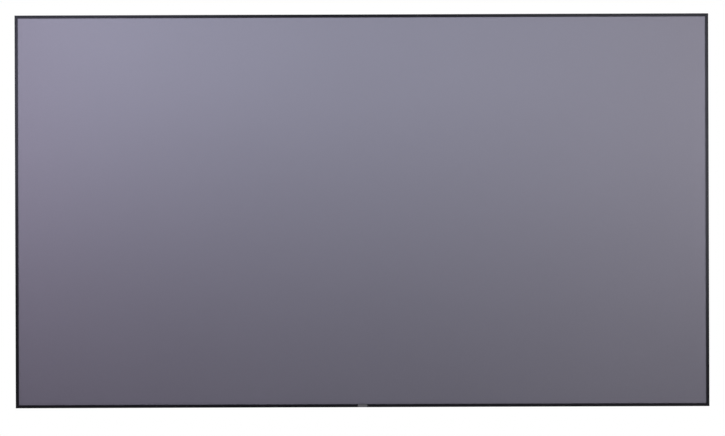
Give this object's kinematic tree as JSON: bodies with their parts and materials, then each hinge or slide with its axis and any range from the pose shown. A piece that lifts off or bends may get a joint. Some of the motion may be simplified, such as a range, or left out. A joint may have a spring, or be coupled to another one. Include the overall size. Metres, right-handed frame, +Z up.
{
  "type": "fixed frame projector screen",
  "caption": "Wall-hung fixed frame projector screen: a flat grey optical sheet pulled taut over a black metal frame by springs at the back, with a slim black edge trim.",
  "frame": {"origin": "centre of the overall box, midway between the badge's front and the wall", "axes": "+X to the right as seen from the front, +Y from the viewer to the wall, +Z up"},
  "size_m": [2.234, 0.037, 1.265],
  "materials": {
    "frame": "satin black anodised extrusion",
    "trim": "satin black anodised trim",
    "screen": "satin grey optical film with fine level ribs, black at the back",
    "hem": "woven black polyester with sewn rod sleeves",
    "spring_steel": "bright drawn spring steel",
    "zinc_steel": "zinc plated",
    "grub_screws": "black oxide",
    "wall_steel": "black powder coat",
    "caps": "moulded black nylon",
    "badge": "satin dark grey, blank"
  },
  "bodies": {
    "root": {"top_rail_left": "frame", "top_rail_right": "frame", "bottom_rail_left": "frame", "bottom_rail_right": "frame", "left_rail": "frame", "right_rail": "frame", "centre_brace": "frame", "top_trim_left": "trim", "top_trim_right": "trim", "bottom_trim_left": "trim", "bottom_trim_right": "trim", "left_trim": "trim", "right_trim": "trim", "screen_sheet": "screen", "top_hem": "hem", "bottom_hem": "hem", "left_hem": "hem", "right_hem": "hem", "top_rod_left_with_springs": "spring_steel", "top_rod_right_with_springs": "spring_steel", "bottom_rod_left_with_springs": "spring_steel", "bottom_rod_right_with_springs": "spring_steel", "left_rod_with_springs": "spring_steel", "right_rod_with_springs": "spring_steel", "corner_bracket_top_left": "zinc_steel", "corner_bracket_top_right": "zinc_steel", "corner_bracket_bottom_right": "zinc_steel", "corner_bracket_bottom_left": "zinc_steel", "top_splice_bar": "zinc_steel", "bottom_splice_bar": "zinc_steel", "corner_screw_top_left_1": "grub_screws", "corner_screw_top_left_2": "grub_screws", "corner_screw_top_left_3": "grub_screws", "corner_screw_top_left_4": "grub_screws", "corner_screw_top_right_1": "grub_screws", "corner_screw_top_right_2": "grub_screws", "corner_screw_top_right_3": "grub_screws", "corner_screw_top_right_4": "grub_screws", "corner_screw_bottom_right_1": "grub_screws", "corner_screw_bottom_right_2": "grub_screws", "corner_screw_bottom_right_3": "grub_screws", "corner_screw_bottom_right_4": "grub_screws", "corner_screw_bottom_left_1": "grub_screws", "corner_screw_bottom_left_2": "grub_screws", "corner_screw_bottom_left_3": "grub_screws", "corner_screw_bottom_left_4": "grub_screws", "top_splice_screw_1": "grub_screws", "top_splice_screw_2": "grub_screws", "top_splice_screw_3": "grub_screws", "top_splice_screw_4": "grub_screws", "bottom_splice_screw_1": "grub_screws", "bottom_splice_screw_2": "grub_screws", "bottom_splice_screw_3": "grub_screws", "bottom_splice_screw_4": "grub_screws", "wall_bracket_left": "wall_steel", "wall_bracket_right": "wall_steel", "brace_cap_top": "caps", "brace_cap_bottom": "caps", "badge_plate": "badge"}
  },
  "joints": []
}
